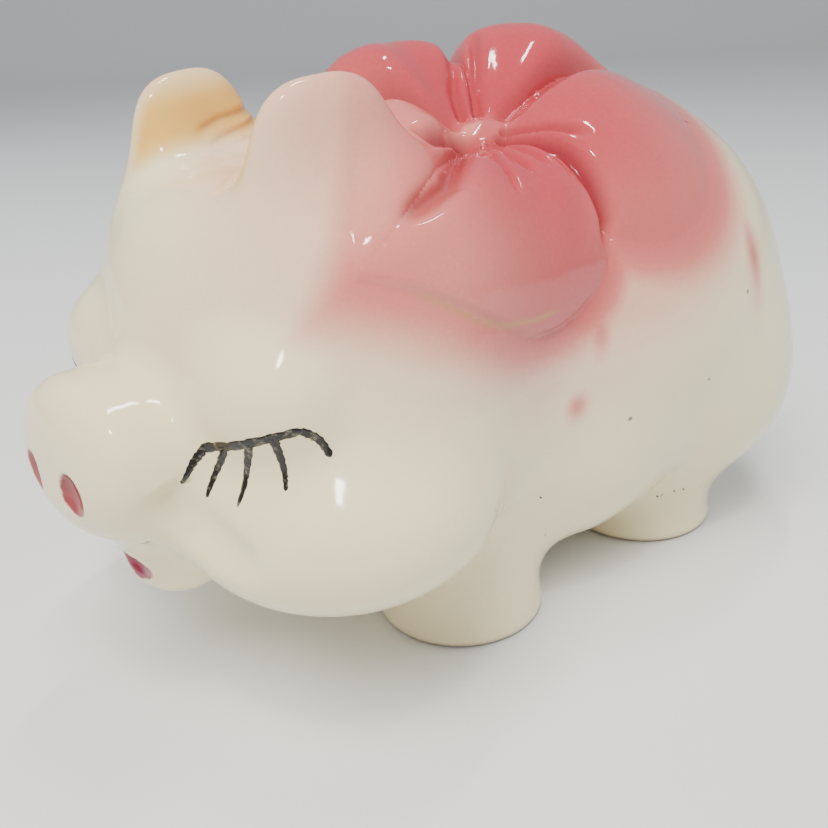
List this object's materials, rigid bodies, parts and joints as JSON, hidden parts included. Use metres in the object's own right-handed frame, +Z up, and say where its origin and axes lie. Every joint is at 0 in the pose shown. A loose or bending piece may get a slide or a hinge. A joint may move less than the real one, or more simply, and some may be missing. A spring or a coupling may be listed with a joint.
{
  "type": "piggy bank",
  "caption": "Glazed pottery piggy bank with closed painted eyes, a coral flower moulded on its shoulder, a coin slot in its back and a rubber plug in its belly.",
  "frame": {"origin": "middle of the footprint on the table", "axes": "+Z up, the pig faces -Y, its own left side is +X"},
  "size_m": [0.0994, 0.1606, 0.1014],
  "materials": {
    "ivory_glaze": "glossy clear glaze over ivory body",
    "ear_glaze": "glossy glaze with airbrushed peach and yellow",
    "rose_glaze": "glossy glaze over airbrushed coral rose",
    "stopper_rubber": "matt moulded rubber"
  },
  "bodies": {
    "bank": {"body_shell": "ivory_glaze", "snout_disc": "ivory_glaze", "left_ear": "ear_glaze", "right_ear": "ear_glaze", "front_left_leg": "ivory_glaze", "front_right_leg": "ivory_glaze", "rear_left_leg": "ivory_glaze", "rear_right_leg": "ivory_glaze", "tail": "ivory_glaze", "flower_eye": "rose_glaze", "petal_flank": "rose_glaze", "petal_rear": "rose_glaze", "petal_crest": "rose_glaze", "petal_far": "rose_glaze", "petal_front": "rose_glaze"},
    "stopper": {"stopper": "stopper_rubber"}
  },
  "joints": [
    {"name": "stopper_pull", "type": "slide", "parent": "bank", "child": "stopper", "axis": [0, 0, -1], "range_m": [0, 0.02]}
  ]
}
